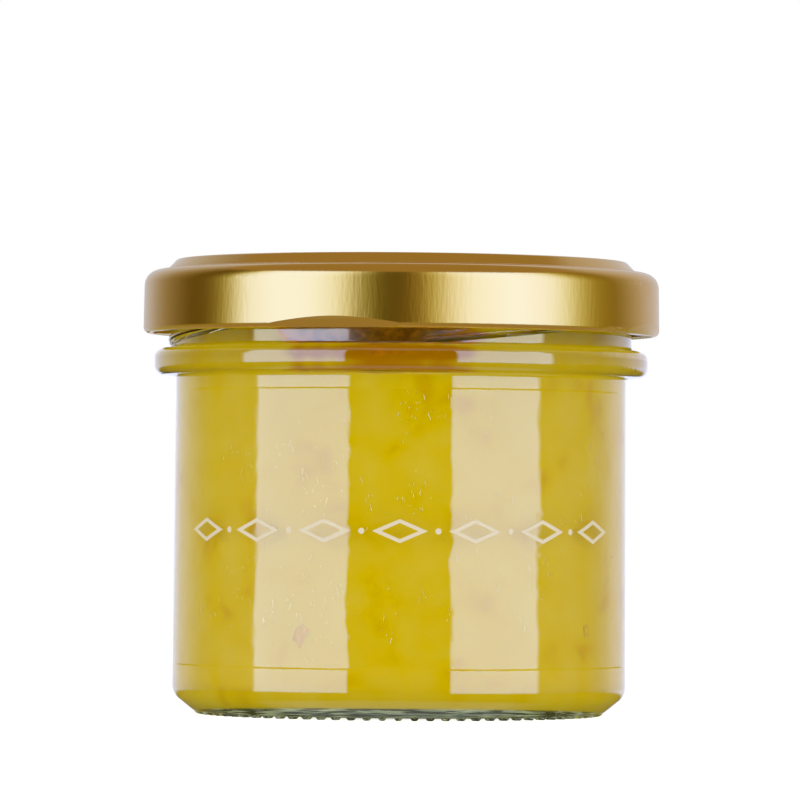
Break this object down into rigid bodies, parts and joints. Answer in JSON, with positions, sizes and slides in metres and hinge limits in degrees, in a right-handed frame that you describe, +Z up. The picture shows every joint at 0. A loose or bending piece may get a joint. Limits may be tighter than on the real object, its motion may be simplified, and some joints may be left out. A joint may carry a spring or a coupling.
{
  "type": "lemon paste jar",
  "caption": "Squat clear glass jar filled with mottled lemon paste, closed by a gold twist-off metal lid, with a bead under a threaded neck and a knurled foot.",
  "frame": {"origin": "middle of the foot, on the surface that the jar stands on", "axes": "+Z up along the jar's axis, -Y towards the front, where the paste has slumped under the lid"},
  "size_m": [0.0728, 0.0728, 0.064],
  "materials": {
    "clear_glass": "clear moulded soda-lime glass, fire-polished",
    "lemon_paste": "wet translucent paste, mottled yellow and olive, with fine glints",
    "gold_lacquer": "satin gold lacquer over tinplate, with fine rolling lines",
    "seal_compound": "matt soft plastisol ring"
  },
  "bodies": {
    "root": {"glass_jar": "clear_glass", "lemon_paste": "lemon_paste", "lid": "gold_lacquer", "lid_seal": "seal_compound"}
  },
  "joints": []
}
